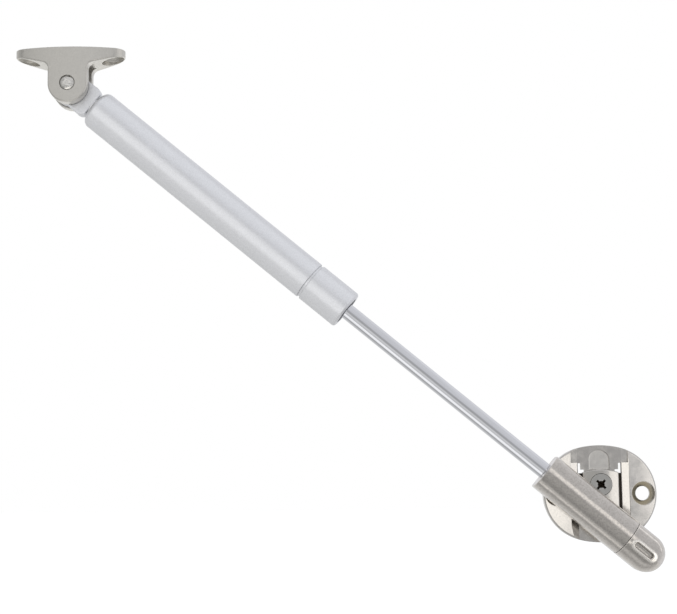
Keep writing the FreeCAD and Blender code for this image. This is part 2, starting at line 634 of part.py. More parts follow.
def guide_bush():
    bore = ROD_R + RUNNING
    nose = SLEEVE_START + 0.25
    profile = [
        (nose, bore), (GUIDE_END, bore), (GUIDE_END, TUBE_BORE_R), (TUBE_START, TUBE_BORE_R),
        (TUBE_START, MOUTH_R), (nose + 0.2, MOUTH_R), (nose, MOUTH_R - 0.2),
    ]
    return in_strut(turned_x(profile))


def rod_seal():
    bore = ROD_R + 0.02
    profile = [
        (GUIDE_END, bore + 0.5), (SEAL_END - 1.0, bore), (SEAL_END, bore), (SEAL_END, 4.1),
        (SEAL_END - 1.4, 4.5), (SEAL_END, 4.9), (SEAL_END, TUBE_BORE_R), (GUIDE_END, TUBE_BORE_R),
    ]
    return in_strut(turned_x(profile))


def seal_backup_ring():
    return in_strut(ring_x(SEAL_END, BACKUP_END, ROD_R + 0.1, TUBE_BORE_R))


def retaining_ring():
    ring = ring_x(BACKUP_END, RING_END, RING_INNER_R, RING_OUTER_R)
    mouth = box(BACKUP_END - PAST, RING_END + PAST, -RING_MOUTH_HALF, RING_MOUTH_HALF, 0, TUBE_R)
    return in_strut(ring.cut(mouth))


def end_plug():
    groove_end = PLUG_GROOVE + PLUG_GROOVE_WIDTH
    profile = [
        (PLUG_START, ROD_R), (PLUG_END, ROD_R), (PLUG_END, TUBE_BORE_R), (groove_end, TUBE_BORE_R),
        (groove_end, PLUG_GROOVE_R), (PLUG_GROOVE, PLUG_GROOVE_R), (PLUG_GROOVE, TUBE_BORE_R),
        (PLUG_START, TUBE_BORE_R),
    ]
    return in_strut(turned_x(profile))


def plug_seal():
    section_r = (TUBE_BORE_R - PLUG_GROOVE_R) / 2
    middle = PLUG_GROOVE + PLUG_GROOVE_WIDTH / 2
    return in_strut(Part.makeTorus(PLUG_GROOVE_R + section_r, section_r, vec(middle, 0, 0), X_AXIS))


def eye_fitting():
    half_y = EYE_THICK / 2
    wide = EYE_START + EYE_SHOULDER
    flank = math.sqrt(EYE_R ** 2 - EYE_HALF ** 2)
    top = PIVOT_DISTANCE
    corners = []
    for side in (-1, 1):
        corners.append([
            vec(EYE_START, -half_y, side * EYE_NECK_HALF),
            vec(EYE_START + 0.9, -half_y, side * (EYE_HALF - 0.55)),
            vec(wide, -half_y, side * EYE_HALF),
            vec(top - flank, -half_y, side * EYE_HALF),
        ])
    low, high = corners
    edges = [
        line(low[0], high[0]),
        arc(low[0], low[1], low[2]), line(low[2], low[3]),
        arc(low[3], vec(top + EYE_R, -half_y, 0), high[3]),
        line(high[3], high[2]), arc(high[2], high[1], high[0]),
    ]
    eye = prism(edges, vec(0, EYE_THICK, 0))
    rims = edges_near(eye, lambda e: flat_at(e, "y", -half_y) or flat_at(e, "y", half_y))
    eye = eye.makeFillet(EYE_EDGE_R, rims)
    neck = rod_x(PLUG_END, EYE_START + GAP, TUBE_LIP_R - 2 * GAP)
    stem = rod_x(PLUG_START + 2 * GAP, PLUG_END, ROD_R).fuse(neck)
    eye = eye.fuse(stem).removeSplitter()
    return in_strut(eye.cut(rod_y(top, 0, -EYE_THICK, EYE_THICK, RIVET_R + RUNNING)))


# ---- door-side bracket ----
def door_bracket():
    reach = BRACKET_HALF_DEPTH + PAST
    end_x = BRACKET_HALF_LONG + PAST
    slope = (WING_TIP_UNDER - WING_ROOT_UNDER) / (BRACKET_HALF_LONG - WING_ROOT_X)
    tip_under = WING_TIP_UNDER + slope * PAST
    root_under = WING_ROOT_UNDER - slope * (WING_ROOT_X - EAR_R)
    points = [
        vec(-EAR_R, -reach, 0), vec(-EAR_R, -reach, root_under), vec(-end_x, -reach, tip_under),
        vec(-end_x, -reach, BRACKET_TOP), vec(end_x, -reach, BRACKET_TOP), vec(end_x, -reach, tip_under),
        vec(EAR_R, -reach, root_under), vec(EAR_R, -reach, 0),
    ]
    edges = [line(a, b) for a, b in zip(points, points[1:])]
    edges.append(arc(points[-1], vec(0, -reach, -EAR_R), points[0]))
    front = prism(edges, vec(0, 2 * reach, 0))
    corners = edges_near(front, lambda e: abs(e.tangentAt(0).y) > 0.9
                         and abs(abs(e.CenterOfMass.x) - EAR_R) < 1e-3 and e.CenterOfMass.z > 1)
    front = front.makeFillet(BRACKET_INNER_R, corners)
    plan = oval(BRACKET_HALF_LONG, BRACKET_HALF_DEPTH, BRACKET_END_R, -EAR_R - PAST, BRACKET_TOP)
    bracket = front.common(plan)
    rims = edges_near(bracket, lambda e: e.BoundBox.ZMax < BRACKET_TOP - 0.1 and e.BoundBox.XLength > 1e-3
                      or e.BoundBox.ZMax < WING_ROOT_UNDER and e.BoundBox.ZLength > 1e-3)
    bracket = bracket.makeFillet(BRACKET_RIM_R, rims)
    bracket = bracket.cut(box(-SLOT_HALF, SLOT_HALF, -EAR_GAP / 2, EAR_GAP / 2, -EAR_R - PAST, SLOT_ROOF))

    # rivet hole with a shallow seat each side
    bracket = bracket.cut([
        rod_y(0, 0, -reach, reach, RIVET_R),
        rod_y(0, 0, -reach, -RIVET_SEAT_Y, RIVET_SEAT_R),
        rod_y(0, 0, RIVET_SEAT_Y, reach, RIVET_SEAT_R),
    ])
    # countersunk screw holes, driven from below
    sink_start = WING_TIP_UNDER - GAP
    sink_deep = BRACKET_SINK_R - BRACKET_HOLE_R
    for side in (-1, 1):
        x = side * SCREW_PITCH / 2
        bracket = bracket.cut([
            Part.makeCylinder(BRACKET_HOLE_R, BRACKET_TOP, vec(x, 0, PAST), Z_AXIS),
            Part.makeCone(BRACKET_SINK_R, BRACKET_HOLE_R, sink_deep, vec(x, 0, sink_start), Z_AXIS),
            Part.makeCylinder(BRACKET_SINK_R, sink_start, vec(x, 0, 0), Z_AXIS),
        ])
    return in_bracket(bracket)


def pivot_rivet():
    rivet = rod_y(0, 0, -RIVET_SEAT_Y, RIVET_SEAT_Y, RIVET_R)
    bulge = RIVET_DOME_R - math.sqrt(RIVET_DOME_R ** 2 - RIVET_HEAD_R ** 2)
    centre = RIVET_SEAT_Y + RIVET_RISE + bulge - RIVET_DOME_R
    for side in (-1, 1):
        ball = Part.makeSphere(RIVET_DOME_R, vec(0, side * centre, 0))
        y0, y1 = sorted((side * RIVET_SEAT_Y, side * (RIVET_SEAT_Y + PAST)))
        rivet = rivet.fuse(rod_y(0, 0, y0, y1, RIVET_HEAD_R).common(ball))
    return in_bracket(rivet.removeSplitter())


PIECES = [
    base_plate, height_slide, pivot_stud, clamp_screw, clamp_nut,
    connector_barrel, socket_bush, release_cap, latch_plate, guide_pin, latch_spring,
    piston_rod, stop_spacer, piston, piston_ring, piston_washer, piston_nut,
    cylinder_tube, front_sleeve, guide_bush, rod_seal, seal_backup_ring, retaining_ring,
    end_plug, plug_seal, eye_fitting, door_bracket, pivot_rivet,
]

os.makedirs("parts", exist_ok=True)
for piece in PIECES:
    solid = piece()
    if len(solid.Solids) != 1 or not solid.isValid():
        print("check", piece.__name__, "solids", len(solid.Solids), "valid", solid.isValid())
    solid.exportStep(os.path.join("parts", piece.__name__ + ".step"))
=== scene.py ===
import json
import math

import bpy
from mathutils import Matrix, Vector


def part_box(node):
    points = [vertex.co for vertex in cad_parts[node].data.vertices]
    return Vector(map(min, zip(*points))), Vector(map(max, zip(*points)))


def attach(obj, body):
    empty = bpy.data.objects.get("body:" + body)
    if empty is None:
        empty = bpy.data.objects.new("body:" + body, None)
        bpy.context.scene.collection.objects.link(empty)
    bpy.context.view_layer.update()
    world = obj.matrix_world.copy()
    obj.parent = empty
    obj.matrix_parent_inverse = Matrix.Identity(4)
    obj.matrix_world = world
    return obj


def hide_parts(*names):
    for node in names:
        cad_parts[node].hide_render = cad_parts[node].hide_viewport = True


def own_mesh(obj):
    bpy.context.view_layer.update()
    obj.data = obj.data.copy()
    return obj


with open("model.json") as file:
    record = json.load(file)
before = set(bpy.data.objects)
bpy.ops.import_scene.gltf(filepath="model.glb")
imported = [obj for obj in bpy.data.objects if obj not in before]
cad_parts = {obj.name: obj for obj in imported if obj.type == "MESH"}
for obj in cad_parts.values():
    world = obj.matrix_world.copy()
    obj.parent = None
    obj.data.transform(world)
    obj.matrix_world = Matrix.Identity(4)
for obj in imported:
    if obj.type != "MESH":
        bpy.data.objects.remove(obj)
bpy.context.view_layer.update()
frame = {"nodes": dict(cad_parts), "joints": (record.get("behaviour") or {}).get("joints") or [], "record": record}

NODES = frame["nodes"]
JOINTS = {j["name"]: j for j in frame["joints"]}
MOUNTS = {m["name"]: m for m in frame["record"]["mounts"]}
MM = 0.001

LOWER = Vector(JOINTS["lower_pivot"]["pos_m"])
UPPER = Vector(JOINTS["upper_pivot"]["pos_m"])
CLAMP = Vector(JOINTS["clamp_screw_turn"]["pos_m"])
STRUT_TURN = math.pi + math.atan2(UPPER.z - LOWER.z, LOWER.x - UPPER.x)
MIDDLE = (LOWER + UPPER) / 2
ALONG = (LOWER - UPPER).normalized()        # down the strut
ACROSS = Vector((-ALONG.z, 0, ALONG.x))     # towards the strut's upper side
FRONT = Vector((0, -1, 0))

# ---- places of the painted shade, painted highlights and rubbed areas, in millimetres ----
HALF_PITCH = MOUNTS["base_screws"]["dims"]["spacing_x_mm"] / 2
FADE = 0.1                          # width of a mask's edge that has no pair of its own
HOLE_FADE = 0.15
# Holes: how far the painted shade reaches from the middle, and how deep under the piece's face it starts.
BASE_HOLES = (4.4, 0.75)
BRACKET_HOLES = (4.15, 0.15)
SCREW_RECESS = (2.3, 0.22)

# From here on, a pair other than BEAD_SPINE says where a mask is 0 and where it is 1.
CHANNEL_HALF = 8.2                  # half width of the base plate's channel
CHANNEL_BACK = -1.75                # back of the channel's floor
GROOVE_HALF = 3.7                   # half width of the groove in that floor
GROOVE_END = 12.4                   # height at which its round end starts
GROOVE_RIM = (0.22, 0.10)           # distance from the groove's outline
RIM_SIDE = (0.5, 2.5)               # distance from the middle at which the rim's painted highlight and painted shade start
SLOT_SIDE = (7.85, 7.95)            # outer walls of the slots beside the slide
SLOT_END = 11.5

SLIDE_SIDE = (6.5, 6.58)            # the part of the slide that runs in the slots
SLIDE_FRONT = (-5.3, -5.1)
SLIDE_BACK = (CHANNEL_BACK + 0.3, CHANNEL_BACK + 0.2)

BEAD_SPINE = (-19.7, -13.25)        # ends of the middle line of the cap's bead, along the strut
BEAD_RAISE = 0.3                    # height of that line over the strut's axis
BEAD_FRONT = (-4.0, -5.0)
CREST_INSIDE = (1.15, 1.35)         # distances from that line, as the two below
CREST_OUTSIDE = (2.15, 1.95)
THUMB_FLOOR = (1.25, 1.10)

GRIP_NICKEL = (0.745, 0.705, 0.66)
# Painted shade colours: in corners, in the slots, in the screw's cross recess and on the holes' walls.
CORNER_SHADE = (0.06, 0.052, 0.04)
SLOT_SHADE = (0.07, 0.058, 0.046)
RECESS_SHADE = (0.045, 0.035, 0.026)
HOLE_SHADE = (0.40, 0.375, 0.31)


# ---- node graph helpers ----
class Nodes:
    """Makes and links the nodes of one tree."""

    def __init__(self, tree):
        self.tree = tree

    def node(self, kind, **values):
        made = self.tree.nodes.new(kind)
        for key, value in values.items():
            setattr(made, key, value)
        return made

    def feed(self, socket, value):
        if isinstance(value, bpy.types.NodeSocket):
            self.tree.links.new(value, socket)
        else:
            socket.default_value = value

    def feed_all(self, made, values):
        for socket, value in zip(made.inputs, values):
            self.feed(socket, value)

    def math(self, operation, a, b=0.0):
        made = self.node("ShaderNodeMath", operation=operation)
        self.feed_all(made, (a, b))
        return made.outputs[0]

    def plus(self, a, b):
        return self.math("ADD", a, b)

    def minus(self, a, b):
        return self.math("SUBTRACT", a, b)

    def times(self, a, b):
        return self.math("MULTIPLY", a, b)

    def dot(self, a, b):
        made = self.node("ShaderNodeVectorMath", operation="DOT_PRODUCT")
        self.feed_all(made, (a, b))
        return made.outputs["Value"]

    def span(self, value, low, high, out_low=0.0, out_high=1.0):
        """out_low where value is low and out_high where it is high, and no further on either side."""
        made = self.node("ShaderNodeMapRange")
        self.feed_all(made, (value, low, high, out_low, out_high))
        return made.outputs[0]


class Graph(Nodes):
    """One material and the few node patterns that all of them use. Lengths are in millimetres."""

    NOISE_MIDDLE = (0.3, 0.7)           # between these lies most of a noise
    EDGE_COSINE = (0.995, 0.90)         # of the turn that a bevel gives the normal: at a mask of 0 and of 1
    OPEN_SHARE = 0.75                   # share of the view that is free from a point outside any cavity

    def __init__(self, name):
        self.material = bpy.data.materials.new(name)
        self.material.use_nodes = True
        super().__init__(self.material.node_tree)
        self.surface = self.tree.nodes["Principled BSDF"]
        self.geometry = self.node("ShaderNodeNewGeometry")

    def set(self, **values):
        for key, value in values.items():
            self.feed(self.surface.inputs[key.replace("_", " ")], value)

    def now(self, name):
        """What feeds a socket of the surface so far."""
        return self.surface.inputs[name].links[0].from_socket

    def place(self, origin=(0, 0, 0), turn=0.0):
        """Coordinates in millimetres from origin, with the frame turned about Y."""
        made = self.node("ShaderNodeMapping", vector_type="TEXTURE")
        made.inputs["Location"].default_value = origin
        made.inputs["Rotation"].default_value = (0, turn, 0)
        made.inputs["Scale"].default_value = (MM, MM, MM)
        self.feed(made.inputs["Vector"], self.node("ShaderNodeTexCoord").outputs["Object"])
        return made.outputs["Vector"]

    def split(self, vector):
        made = self.node("ShaderNodeSeparateXYZ")
        self.feed(made.inputs[0], vector)
        return made.outputs

    def join(self, x, y, z):
        made = self.node("ShaderNodeCombineXYZ")
        self.feed_all(made, (x, y, z))
        return made.outputs[0]

    def radius(self, a, b):
        made = self.node("ShaderNodeVectorMath", operation="LENGTH")
        self.feed(made.inputs[0], self.join(a, b, 0.0))
        return made.outputs["Value"]

    def stretch(self, vector, factors):
        made = self.node("ShaderNodeVectorMath", operation="MULTIPLY")
        self.feed_all(made, (vector, factors))
        return made.outputs[0]

    def noise(self, vector, scale, detail=2.0, rough=0.5, distortion=0.0):
        made = self.node("ShaderNodeTexNoise")
        self.feed(made.inputs["Vector"], vector)
        made.inputs["Scale"].default_value = scale
        made.inputs["Detail"].default_value = detail
        made.inputs["Roughness"].default_value = rough
        made.inputs["Distortion"].default_value = distortion
        return made.outputs["Fac"]

    def cells(self, vector, scale):
        made = self.node("ShaderNodeTexVoronoi")
        self.feed(made.inputs["Vector"], vector)
        made.inputs["Scale"].default_value = scale
        return made.outputs["Distance"], made.outputs["Color"]

    def spread(self, noise, out_low=0.0, out_high=1.0):
        """A noise with its middle spread from out_low to out_high."""
        return self.span(noise, *self.NOISE_MIDDLE, out_low, out_high)

    def overlap(self, *masks):
        """1 where every mask is 1."""
        made = masks[0]
        for mask in masks[1:]:
            made = self.times(made, mask)
        return made

    def blend(self, factor, a, b):
        made = self.node("ShaderNodeMix", data_type="RGBA")
        self.feed(made.inputs["Factor"], factor)
        for socket, value in ((made.inputs[6], a), (made.inputs[7], b)):
            self.feed(socket, value if isinstance(value, bpy.types.NodeSocket) else (*value, 1.0))
        return made.outputs[2]

    def tinge(self, body, mask, amount, colour):
        """body, taken towards colour by amount where mask is 1."""
        return self.blend(self.times(mask, amount), body, colour)

    def bevel(self, radius):
        made = self.node("ShaderNodeBevel", samples=4)
        made.inputs["Radius"].default_value = radius * MM
        return made.outputs["Normal"]

    def edge(self, rounded):
        """1 along convex and concave edges, 0 on open faces."""
        return self.span(self.dot(rounded, self.geometry.outputs["Normal"]), *self.EDGE_COSINE)

    def cavity(self, reach, full=0.2):
        """1 deep in gaps and corners narrower than about reach, 0 on open faces. full is the open share of
        the view from a point at which it is 1."""
        made = self.node("ShaderNodeAmbientOcclusion", samples=6)
        made.inputs["Distance"].default_value = reach * MM
        return self.span(made.outputs["AO"], self.OPEN_SHARE, full)

    def bump(self, height, depth, normal=None):
        """depth is the relief in millimetres for a height of 1."""
        made = self.node("ShaderNodeBump")
        made.inputs["Distance"].default_value = depth * MM
        self.feed(made.inputs["Height"], height)
        if normal is not None:
            self.feed(made.inputs["Normal"], normal)
        return made.outputs["Normal"]


def tint(colour, factor):
    return tuple(min(1.0, c * factor) for c in colour)


# ---- materials ----
def satin_nickel(name, colour, roughness, grain=0.0022, wave=0.05, edge_radius=0.18, wear_and_highlight=0.5, pits=0.35,
                 reach=1.4, speckle=2.6, gloom=0.2, edge_rough=-0.05):
    """Tumbled and nickel-plated zinc casting: soft waves, fine grain, rubbed edges with a painted highlight, and
    painted shade in dull corners.
    grain and wave are reliefs, and speckle is the grain's scale. wear_and_highlight is how bright the edges are,
    edge_rough how much rougher they are, and pits how dark the specks are. reach and gloom are those of the
    painted corner shade."""
    g = Graph(name)
    place = g.place()
    rounded = g.bevel(edge_radius)
    edge = g.edge(rounded)
    corner = g.cavity(reach, gloom)
    cloud = g.noise(place, scale=0.45, detail=4.0, rough=0.6)
    speck = g.noise(place, scale=speckle, detail=3.0, rough=0.6)
    body = g.blend(g.spread(cloud), tint(colour, 0.93), tint(colour, 1.05))
    body = g.tinge(body, g.span(speck, 0.45, 0.75), pits, tint(colour, 0.72))
    # Brighter edges: partly rubbed metal, partly a painted highlight.
    body = g.tinge(body, edge, wear_and_highlight, tint(colour, 1.3))
    # Painted shade in corners and narrow gaps, placed by the cavity mask.
    body = g.tinge(body, corner, 0.92, CORNER_SHADE)
    rough = g.spread(cloud, roughness - 0.04, roughness + 0.06)
    rough = g.plus(rough, g.spread(speck, -0.02, 0.04))
    rough = g.plus(rough, g.times(corner, 0.2))
    rough = g.plus(rough, g.times(edge, edge_rough))
    normal = g.bump(g.noise(place, scale=0.11, detail=1.0), wave, rounded)
    normal = g.bump(g.noise(place, scale=speckle, detail=4.0, rough=0.65), grain, normal)
    g.set(Base_Color=body, Metallic=1.0, Roughness=rough, Normal=normal)
    return g


def silver_paint(name, colour):
    """Satin metallic paint: tiny flakes under a thin clear film, faint orange peel."""
    g = Graph(name)
    place = g.place(LOWER, STRUT_TURN)
    flake_gap, flake_colour = g.cells(place, 4.5)
    flake = g.split(flake_colour)[0]
    cloud = g.noise(g.stretch(place, (0.25, 1.0, 1.0)), scale=0.5, detail=3.0)
    body = g.blend(flake, tint(colour, 0.92), tint(colour, 1.07))
    body = g.tinge(body, g.spread(cloud), 0.3, tint(colour, 0.94))
    # Painted shade in narrow gaps and grooves.
    body = g.tinge(body, g.cavity(0.6), 0.8, tint(colour, 0.25))
    rough = g.span(flake, 0.0, 1.0, 0.37, 0.44)
    normal = g.bump(g.noise(place, scale=0.9, detail=2.0), 0.004, g.bevel(0.2))
    normal = g.bump(flake_gap, 0.003, normal)
    g.set(Base_Color=body, Metallic=0.70, Roughness=rough, Normal=normal)
    g.set(Coat_Weight=0.12, Coat_Roughness=0.22)
    return g


def ground_chrome(name, colour):
    """Hard chrome on a centreless-ground rod: near mirror, with the finest rings and a few oil smears."""
    g = Graph(name)
    place = g.place(LOWER, STRUT_TURN)
    rings = g.noise(g.stretch(place, (9.0, 0.2, 0.2)), scale=1.0, detail=3.0)
    smear = g.span(g.noise(g.stretch(place, (0.06, 1.0, 1.0)), scale=0.7, detail=3.0), 0.35, 0.7)
    body = g.blend(smear, colour, tint(colour, 0.93))
    rough = g.plus(g.span(smear, 0.0, 1.0, 0.05, 0.11), g.spread(rings, 0.0, 0.02))
    normal = g.bump(rings, 0.0004)
    normal = g.bump(g.noise(g.stretch(place, (0.03, 1.0, 1.0)), scale=0.35, detail=1.0), 0.03, normal)
    g.set(Base_Color=body, Metallic=1.0, Roughness=rough, Normal=normal)
    return g


def turned_metal(name, colour, roughness, origin, turn=0.0, about="x", groove=0.0012):
    """Lathe-turned metal: fine rings about its axis, with brighter and duller tool passes."""
    g = Graph(name)
    place = g.place(origin, turn)
    x, y, z = g.split(place)
    along, out = (x, g.radius(y, z)) if about == "x" else (y, g.radius(x, z))
    lathe = g.join(along, out, 0.0)
    rounded = g.bevel(0.12)
    rings = g.noise(lathe, scale=7.0, detail=3.0, rough=0.7)
    passes = g.noise(lathe, scale=1.1, detail=2.0)
    stain = g.span(g.noise(place, scale=0.8, detail=3.0), 0.5, 0.8)
    body = g.blend(g.spread(passes), tint(colour, 0.88), tint(colour, 1.08))
    body = g.tinge(body, stain, 0.4, tint(colour, 0.7))
    # Brighter edges: partly rubbed metal, partly a painted highlight.
    body = g.tinge(body, g.edge(rounded), 0.4, tint(colour, 1.2))
    rough = g.plus(g.spread(passes, roughness - 0.04, roughness + 0.05), g.times(stain, 0.08))
    g.set(Base_Color=body, Metallic=1.0, Roughness=rough, Normal=g.bump(rings, groove, rounded))
    return g


def drawn_steel(name, colour, roughness):
    """Blanked or drawn spring steel: straight draw lines along the strut and a faint straw tint."""
    g = Graph(name)
    place = g.place(LOWER, STRUT_TURN)
    lines = g.noise(g.stretch(place, (0.25, 6.0, 6.0)), scale=1.0, detail=3.0)
    temper = g.noise(place, scale=0.35, detail=2.0)
    straw = (colour[0] * 0.96, colour[1] * 0.90, colour[2] * 0.80)
    body = g.blend(g.span(temper, 0.35, 0.7), colour, straw)
    body = g.tinge(body, g.span(lines, 0.4, 0.7), 0.3, tint(colour, 0.75))
    rough = g.spread(lines, roughness - 0.05, roughness + 0.07)
    g.set(Base_Color=body, Metallic=1.0, Roughness=rough, Normal=g.bump(lines, 0.0015, g.bevel(0.08)))
    return g


def moulded_acetal(name, colour):
    """Black moulded acetal: waxy, with faint flow marks and a dusting of spark-eroded grain."""
    g = Graph(name)
    place = g.place(LOWER, STRUT_TURN)
    flow = g.noise(g.stretch(place, (0.5, 1.0, 1.6)), scale=0.6, detail=3.0)
    grain = g.noise(place, scale=5.0, detail=2.0)
    body = g.blend(g.spread(flow), colour, tint(colour, 1.5))
    rough = g.plus(g.spread(flow, 0.36, 0.46), g.spread(grain, -0.03, 0.05))
    normal = g.bump(grain, 0.003, g.bevel(0.15))
    g.set(Base_Color=body, Roughness=rough, Normal=normal, Specular_IOR_Level=0.5)
    return g


def nitrile(name, colour):
    """Nitrile rubber: dull, with a fine bloom and a smear of grease."""
    g = Graph(name)
    bloom = g.noise(g.place(LOWER, STRUT_TURN), scale=1.6, detail=4.0, rough=0.65)
    body = g.blend(g.span(bloom, 0.4, 0.75), colour, tint(colour, 1.9))
    normal = g.bump(bloom, 0.006, g.bevel(0.12))
    g.set(Base_Color=body, Roughness=g.spread(bloom, 0.5, 0.78), Normal=normal, Specular_IOR_Level=0.4)
    return g


def sunk_holes(g, centres, axis, reach, start):
    """1 on the walls of round holes and countersinks: nearer than reach to a centre, and past start along
    axis, which runs back from the front for "y" and down from the top for "z". A centre is given in the
    other two directions."""
    x, y, z = g.split(g.place())
    u, v, w = (x, z, y) if axis == "y" else (x, y, z)
    inside = 0.0
    for cu, cv in centres:
        out = g.radius(g.minus(u, cu), g.minus(v, cv))
        inside = g.math("MAXIMUM", inside, g.span(out, reach + FADE / 2, reach - FADE / 2))
    step = HOLE_FADE if axis == "y" else -HOLE_FADE
    return g.overlap(inside, g.span(w, start, start + step))


def shade_holes(g, mask, amount):
    """Painted shade, dark olive, on the walls inside a hole."""
    g.set(Base_Color=g.tinge(g.now("Base Color"), mask, amount, HOLE_SHADE))


def base_nickel():
    """Plate nickel: darker on the channel's floor, lighter in the groove, whose rim has a painted highlight on the
    left and painted shade on the right, and painted shade inside the slots."""
    colour = (0.75, 0.725, 0.69)
    g = satin_nickel("base_satin_nickel", colour, 0.14, grain=0.0012)
    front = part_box("base_plate")[0].y / MM
    reach, depth = BASE_HOLES
    # Painted shade on the walls of the countersunk screw holes.
    shade_holes(g, sunk_holes(g, ((-HALF_PITCH, 0), (HALF_PITCH, 0)), "y", reach, front + depth), 0.8)
    x, y, z = g.split(g.place())
    side = g.math("ABSOLUTE", x)
    height = g.math("ABSOLUTE", z)
    floor = g.overlap(g.span(side, CHANNEL_HALF, CHANNEL_HALF - FADE),
                      g.span(y, CHANNEL_BACK, CHANNEL_BACK - FADE))
    out = g.radius(x, g.math("MAXIMUM", g.minus(height, GROOVE_END), 0.0))
    groove = g.overlap(floor, g.span(out, GROOVE_HALF + FADE / 2, GROOVE_HALF - FADE / 2))
    rim = g.overlap(floor, g.span(g.math("ABSOLUTE", g.minus(out, GROOVE_HALF)), *GROOVE_RIM))
    rim_highlight = g.overlap(rim, g.span(g.times(x, -1.0), *RIM_SIDE))
    rim_shade = g.overlap(rim, g.span(x, *RIM_SIDE))
    slot = g.overlap(floor, g.span(side, *SLOT_SIDE), g.span(height, SLOT_END, SLOT_END - FADE))
    body = g.tinge(g.now("Base Color"), floor, 0.7, tint(colour, 0.83))
    body = g.tinge(body, groove, 0.8, tint(colour, 1.16))
    # Painted highlight on the groove's rim at the left, painted shade at the right.
    body = g.tinge(body, rim_highlight, 0.8, tint(colour, 1.35))
    body = g.tinge(body, rim_shade, 0.6, tint(colour, 0.4))
    # Painted shade inside the slots.
    g.set(Base_Color=g.tinge(body, slot, 0.85, SLOT_SHADE))
    return g


def slide_nickel():
    """Slide nickel, with painted shade on the sides and hooks that run in the plate's slots."""
    g = satin_nickel("slide_satin_nickel", (0.75, 0.725, 0.685), 0.16, grain=0.0012, reach=3.2, gloom=0.45)
    place = g.split(g.place())
    side, depth = g.math("ABSOLUTE", place[0]), place[1]
    hidden = g.overlap(g.span(side, *SLIDE_SIDE), g.span(depth, *SLIDE_FRONT), g.span(depth, *SLIDE_BACK))
    # Painted shade on the sides and hooks, deep in the slots.
    g.set(Base_Color=g.tinge(g.now("Base Color"), hidden, 0.9, SLOT_SHADE))
    return g


def bracket_nickel():
    """Coarser and duller nickel, with rubbed corners that carry a strong painted highlight."""
    g = satin_nickel("bracket_tumbled_nickel", (0.69, 0.67, 0.625), 0.38, grain=0.012, wave=0.02,
                     edge_radius=0.25, wear_and_highlight=1.4, speckle=3.4, gloom=0.1)
    low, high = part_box("door_bracket")
    centre = (low + high) / (2 * MM)
    half = MOUNTS["bracket_screws"]["dims"]["spacing_x_mm"] / 2
    holes = ((centre.x - half, centre.y), (centre.x + half, centre.y))
    reach, depth = BRACKET_HOLES
    # Painted shade on the walls of the countersunk screw holes.
    shade_holes(g, sunk_holes(g, holes, "z", reach, high.z / MM - depth), 0.35)
    return g


def cap_nickel():
    """Connector nickel: rubbed metal with a painted highlight along the bead round the thumb recess, and painted
    shade on the recess floor.
    """
    g = satin_nickel("cap_satin_nickel", GRIP_NICKEL, 0.14, grain=0.022, edge_radius=0.6, wear_and_highlight=1.0, pits=0.7,
                     reach=0.5, speckle=1.6, edge_rough=0.3)
    x, y, z = g.split(g.place(LOWER, STRUT_TURN))
    nearest = g.math("MINIMUM", g.math("MAXIMUM", x, BEAD_SPINE[0]), BEAD_SPINE[1])
    out = g.radius(g.minus(x, nearest), g.minus(z, BEAD_RAISE))
    front = g.span(y, *BEAD_FRONT)
    crest = g.overlap(front, g.span(out, *CREST_INSIDE), g.span(out, *CREST_OUTSIDE))
    floor = g.overlap(front, g.span(out, *THUMB_FLOOR))
    # Painted highlight along the bead's crest, over its rubbed metal.
    body = g.tinge(g.now("Base Color"), crest, 0.9, (1.0, 0.97, 0.92))
    # Painted shade on the thumb recess floor.
    body = g.tinge(body, floor, 0.45, (0.50, 0.48, 0.45))
    g.set(Base_Color=body, Roughness=g.plus(g.now("Roughness"), g.times(crest, 0.24)))
    return g


def recessed_screw():
    """Turned screw head with painted shade in its dull cross recess."""
    g = turned_metal("clamp_screw_nickel", (0.70, 0.69, 0.66), 0.24, CLAMP, about="y")
    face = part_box("clamp_screw")[0].y / MM
    reach, depth = SCREW_RECESS
    recess = sunk_holes(g, ((CLAMP.x / MM, CLAMP.z / MM),), "y", reach, face + depth)
    # Painted shade in the cross recess.
    g.set(Base_Color=g.blend(recess, g.now("Base Color"), RECESS_SHADE))
    g.set(Roughness=g.plus(g.now("Roughness"), g.times(recess, 0.3)))
    return g


def peened_rivet():
    """Rivet head closed by orbital peening: swirled, flattened and unevenly bright."""
    g = turned_metal("rivet_nickel", (0.80, 0.785, 0.75), 0.26, UPPER, about="y", groove=0.003)
    swirl = g.noise(g.stretch(g.place(UPPER), (0.5, 1.0, 1.3)), scale=0.5, detail=1.0, distortion=1.2)
    bright = g.span(swirl, 0.45, 0.6)
    g.set(Base_Color=g.tinge(g.now("Base Color"), bright, 0.6, (0.96, 0.94, 0.89)))
    g.set(Normal=g.bump(swirl, 0.5, g.now("Normal")))
    return g


BARREL = satin_nickel("connector_satin_nickel", GRIP_NICKEL, 0.14, grain=0.028, wave=0.09, pits=0.85,
                      speckle=1.7)
PAINT = silver_paint("cylinder_silver_paint", (0.82, 0.825, 0.845))
CHROME = ground_chrome("rod_hard_chrome", (0.795, 0.80, 0.83))
STEEL = turned_metal("plain_turned_steel", (0.56, 0.56, 0.56), 0.30, LOWER, STRUT_TURN)
ALUMINIUM = turned_metal("turned_aluminium", (0.74, 0.74, 0.75), 0.34, LOWER, STRUT_TURN, groove=0.002)
ACETAL = moulded_acetal("black_acetal", (0.018, 0.018, 0.02))
RUBBER = nitrile("black_nitrile", (0.012, 0.012, 0.012))
SPRING = drawn_steel("spring_steel", (0.60, 0.60, 0.60), 0.28)

